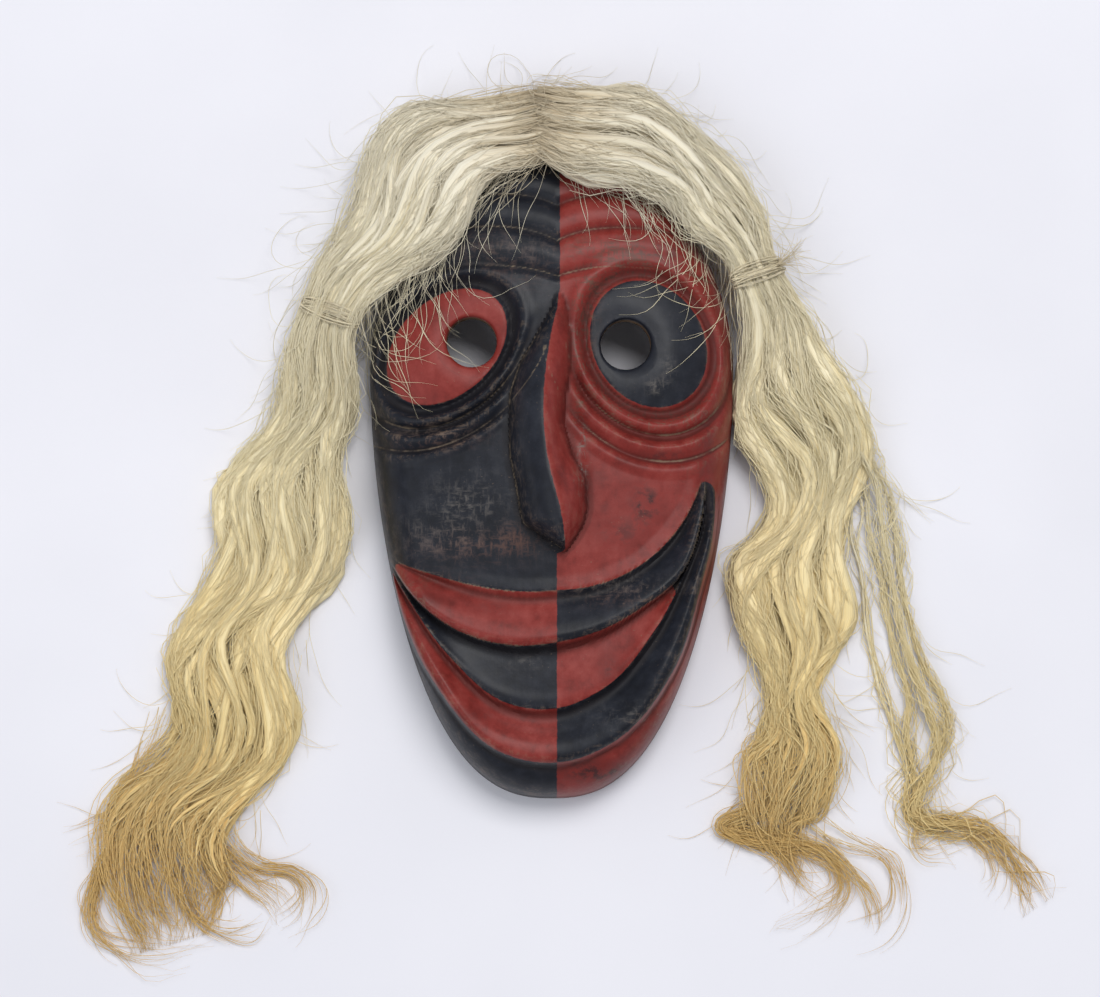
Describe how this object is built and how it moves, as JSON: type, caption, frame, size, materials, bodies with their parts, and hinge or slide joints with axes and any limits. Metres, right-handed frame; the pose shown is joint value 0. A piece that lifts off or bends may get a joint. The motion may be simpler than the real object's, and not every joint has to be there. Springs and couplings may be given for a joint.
{
  "type": "carved wooden face mask",
  "caption": "Carved wooden face mask with a long crooked nose, ringed eyes, a broad lopsided grin and two tied hanks of pale horsehair, hollowed behind.",
  "frame": {"origin": "middle of the back rim's flat at the chin, on the face's centre line", "axes": "+Z out of the face, +Y from the chin to the forehead, +X to the right of someone looking at the face"},
  "size_m": [0.4084, 0.3814, 0.0737],
  "materials": {
    "painted_wood": "hand-rubbed black and red paint, worn at the edges",
    "horsehair": "pale cream horsehair, golden at the ends",
    "tie_cord": "a few turns of twisted hair"
  },
  "bodies": {
    "root": {"carved_face": "painted_wood", "hair_left": "horsehair", "hair_right": "horsehair", "hair_tie_left": "tie_cord", "hair_tie_right": "tie_cord"}
  },
  "joints": []
}
